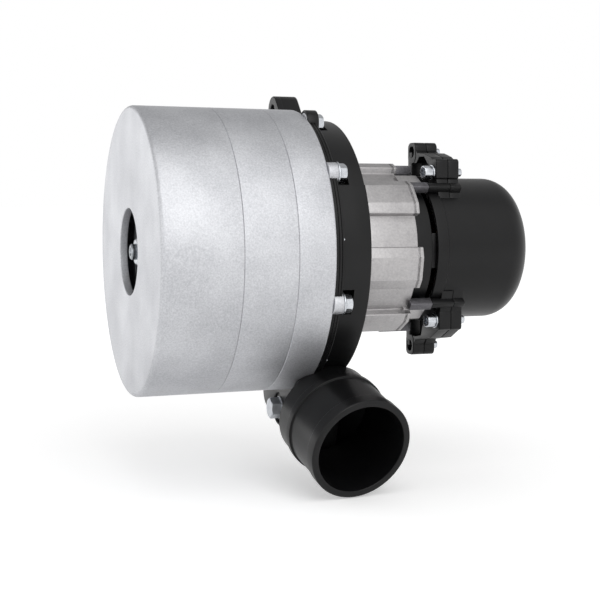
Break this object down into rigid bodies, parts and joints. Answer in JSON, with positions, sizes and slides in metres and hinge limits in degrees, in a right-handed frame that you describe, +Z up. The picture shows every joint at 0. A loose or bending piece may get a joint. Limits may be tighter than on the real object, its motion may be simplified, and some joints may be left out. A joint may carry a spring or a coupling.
{
  "type": "vacuum motor",
  "caption": "Bypass vacuum motor with stacked fan stages in a round cast case, a tangential outlet tube, a ribbed motor frame and a capped brush end.",
  "frame": {"origin": "centre of the inlet hole, on the front face of the fan case", "axes": "+X along the shaft from the inlet towards the cap, +Z up, -Y towards the side that the outlet leaves on"},
  "size_m": [0.208, 0.1488, 0.1996],
  "materials": {
    "cast_case": "fine blasted casting",
    "cast_frame": "die casting",
    "pressed_aluminium": "pressed sheet",
    "black_moulding": "moulded, fine satin",
    "zinc_steel": "zinc plated",
    "turned_steel": "ground",
    "seal_carbon": "graphite",
    "flux_steel": "rolled tube",
    "ferrite": "sintered",
    "laminated_steel": "stacked sheets",
    "enamelled_copper": "varnished wire",
    "copper_bars": "turned",
    "brass_tube": "drawn",
    "brush_carbon": "pressed carbon",
    "spring_steel": "bright wire"
  },
  "bodies": {
    "root": {"inlet_shell": "cast_case", "middle_shell": "cast_case", "rear_shell": "cast_case", "exhaust_housing": "black_moulding", "flange_screws": "zinc_steel", "ear_bolt": "zinc_steel", "ear_nut": "zinc_steel", "diffuser_1": "pressed_aluminium", "diffuser_2": "pressed_aluminium", "shaft_seal": "seal_carbon", "front_bearing_outer": "turned_steel", "rear_bearing_outer": "turned_steel", "wave_washer": "spring_steel", "motor_frame": "cast_frame", "frame_screws": "zinc_steel", "flux_ring": "flux_steel", "magnets": "ferrite", "brush_bracket": "black_moulding", "brush_tubes": "brass_tube", "spring_top": "spring_steel", "spring_bottom": "spring_steel", "tube_caps": "black_moulding", "fan_cover": "black_moulding", "cap_screws": "zinc_steel", "cap_spacers": "zinc_steel"},
    "rotor": {"shaft": "turned_steel", "impeller_1": "pressed_aluminium", "impeller_2": "pressed_aluminium", "impeller_3": "pressed_aluminium", "spacer_1": "turned_steel", "spacer_2": "turned_steel", "spacer_3": "turned_steel", "fan_nut": "zinc_steel", "nut_washer": "zinc_steel", "front_bearing_inner": "turned_steel", "front_bearing_balls": "turned_steel", "rear_bearing_inner": "turned_steel", "rear_bearing_balls": "turned_steel", "armature_core": "laminated_steel", "armature_windings": "enamelled_copper", "commutator": "copper_bars", "cooling_fan": "black_moulding"},
    "brush_top_body": {"brush_top": "brush_carbon"},
    "brush_bottom_body": {"brush_bottom": "brush_carbon"}
  },
  "joints": [
    {"name": "rotor_spin", "type": "hinge", "parent": "root", "child": "rotor", "pos_m": [0, 0, 0], "axis": [1, 0, 0], "continuous": true},
    {"name": "brush_top_slide", "type": "slide", "parent": "root", "child": "brush_top_body", "axis": [0, 0, 1], "range_m": [0, 0.003], "stiffness_N_per_m": 400, "deforming": ["spring_top"]},
    {"name": "brush_bottom_slide", "type": "slide", "parent": "root", "child": "brush_bottom_body", "axis": [0, 0, -1], "range_m": [0, 0.003], "stiffness_N_per_m": 400, "deforming": ["spring_bottom"]}
  ]
}
